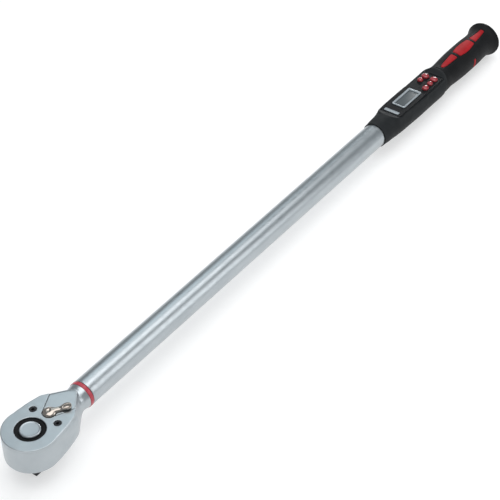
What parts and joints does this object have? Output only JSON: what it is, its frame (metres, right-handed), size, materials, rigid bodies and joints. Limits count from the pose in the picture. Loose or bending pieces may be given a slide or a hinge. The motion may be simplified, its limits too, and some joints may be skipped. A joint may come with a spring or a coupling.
{
  "type": "torque wrench",
  "caption": "Electronic torque wrench: reversible ratchet head with square drive, long chromed tube, display housing with keys, and a rubber grip with a battery cap.",
  "frame": {"origin": "centre of the square drive's end face, on the drive's axis", "axes": "+X along the wrench from the head to the grip, +Z out of the head face that carries the reversing lever"},
  "size_m": [0.974, 0.064, 0.0703],
  "materials": {
    "satin_chrome": "satin chrome plate, fine linen-like grain",
    "polished_nickel": "polished nickel plate",
    "black_steel": "black oxide, slightly oily",
    "spring_steel": "bare drawn steel",
    "black_plastic": "moulded, fine spark-eroded grain",
    "panel_plastic": "moulded, semi-matt",
    "black_rubber": "soft-touch rubber",
    "red_rubber": "soft-touch rubber",
    "red_plastic": "gloss",
    "red_enamel": "semi-gloss enamel",
    "silver_plastic": "silver lacquer, satin",
    "display_glass": "clear window over a grey-green display",
    "board": "solder resist",
    "brass": "plain",
    "cell_jacket": "printed-free satin jacket"
  },
  "bodies": {
    "wrench_body": {"head_housing": "satin_chrome", "cover_plate": "satin_chrome", "cover_screw_left": "black_steel", "cover_screw_right": "black_steel", "seal_ring": "black_rubber", "pawl_plunger": "spring_steel", "pawl_spring": "spring_steel", "neck_band": "red_enamel", "main_tube": "satin_chrome", "head_pin": "spring_steel", "sensor_beam": "spring_steel", "strain_gauge_left": "board", "strain_gauge_right": "board", "sensor_lead": "black_rubber", "lead_plug": "panel_plastic", "display_housing": "black_plastic", "housing_screw_front": "black_steel", "housing_screw_rear": "black_steel", "face_panel": "panel_plastic", "lcd_bezel": "silver_plastic", "lcd_window": "display_glass", "lcd_module": "silver_plastic", "nameplate": "silver_plastic", "circuit_board": "board", "keypad_mat": "black_rubber", "buzzer": "panel_plastic", "grip_sleeve": "black_rubber", "grip_insert_front": "red_rubber", "grip_insert_middle": "red_rubber", "grip_insert_rear": "red_rubber", "grip_mark_left": "red_rubber", "grip_mark_right": "red_rubber", "battery_holder": "black_plastic", "battery_cell_1": "cell_jacket", "battery_cell_2": "cell_jacket", "front_contact_plate": "brass", "front_contact_spring": "spring_steel"},
    "drive": {"ratchet_anvil": "black_steel", "anvil_cap": "satin_chrome"},
    "detent": {"detent_ball": "spring_steel", "detent_spring": "spring_steel"},
    "lever": {"reversing_lever": "polished_nickel"},
    "pawl": {"pawl": "black_steel"},
    "cap_contact": {"cap_contact_disc": "brass", "cap_spring": "spring_steel"},
    "cap": {"battery_cap": "black_plastic", "cap_seal": "black_rubber"},
    "button_rear_left_key": {"button_rear_left": "red_plastic"},
    "button_rear_right_key": {"button_rear_right": "red_plastic"},
    "button_middle_left_key": {"button_middle_left": "red_plastic"},
    "button_middle_right_key": {"button_middle_right": "red_plastic"},
    "button_front_key": {"button_front": "red_plastic"}
  },
  "joints": [
    {"name": "drive_spin", "type": "hinge", "parent": "wrench_body", "child": "drive", "pos_m": [0, 0, 0], "axis": [0, 0, 1], "continuous": true},
    {"name": "detent_press", "type": "slide", "parent": "drive", "child": "detent", "axis": [-1, 0, 0], "range_m": [0, 0.0012], "stiffness_N_per_m": 800, "deforming": ["detent_spring"]},
    {"name": "lever_swing", "type": "hinge", "parent": "wrench_body", "child": "lever", "pos_m": [0.0305, 0, 0], "axis": [0, 0, 1], "range_deg": [0, 72]},
    {"name": "pawl_rock", "type": "hinge", "parent": "wrench_body", "child": "pawl", "pos_m": [0.0305, 0, 0], "axis": [0, 0, 1], "range_deg": [0, 12]},
    {"name": "cap_travel", "type": "slide", "parent": "wrench_body", "child": "cap_contact", "axis": [1, 0, 0], "range_m": [0, 0.009]},
    {"name": "cap_turn", "type": "hinge", "parent": "cap_contact", "child": "cap", "pos_m": [0.93, 0, 0.046], "axis": [1, 0, 0], "range_deg": [0, 1080]},
    {"name": "button_rear_left_press", "type": "slide", "parent": "wrench_body", "child": "button_rear_left_key", "axis": [0, 0, -1], "range_m": [0, 0.0008], "stiffness_N_per_m": 500},
    {"name": "button_rear_right_press", "type": "slide", "parent": "wrench_body", "child": "button_rear_right_key", "axis": [0, 0, -1], "range_m": [0, 0.0008], "stiffness_N_per_m": 500},
    {"name": "button_middle_left_press", "type": "slide", "parent": "wrench_body", "child": "button_middle_left_key", "axis": [0, 0, -1], "range_m": [0, 0.0008], "stiffness_N_per_m": 500},
    {"name": "button_middle_right_press", "type": "slide", "parent": "wrench_body", "child": "button_middle_right_key", "axis": [0, 0, -1], "range_m": [0, 0.0008], "stiffness_N_per_m": 500},
    {"name": "button_front_press", "type": "slide", "parent": "wrench_body", "child": "button_front_key", "axis": [0, 0, -1], "range_m": [0, 0.0008], "stiffness_N_per_m": 500}
  ],
  "couplings": [
    {"joint": "pawl_rock", "follows": "lever_swing", "ratio": 0.1666},
    {"joint": "cap_turn", "follows": "cap_travel", "rad_per_m": 2094}
  ]
}
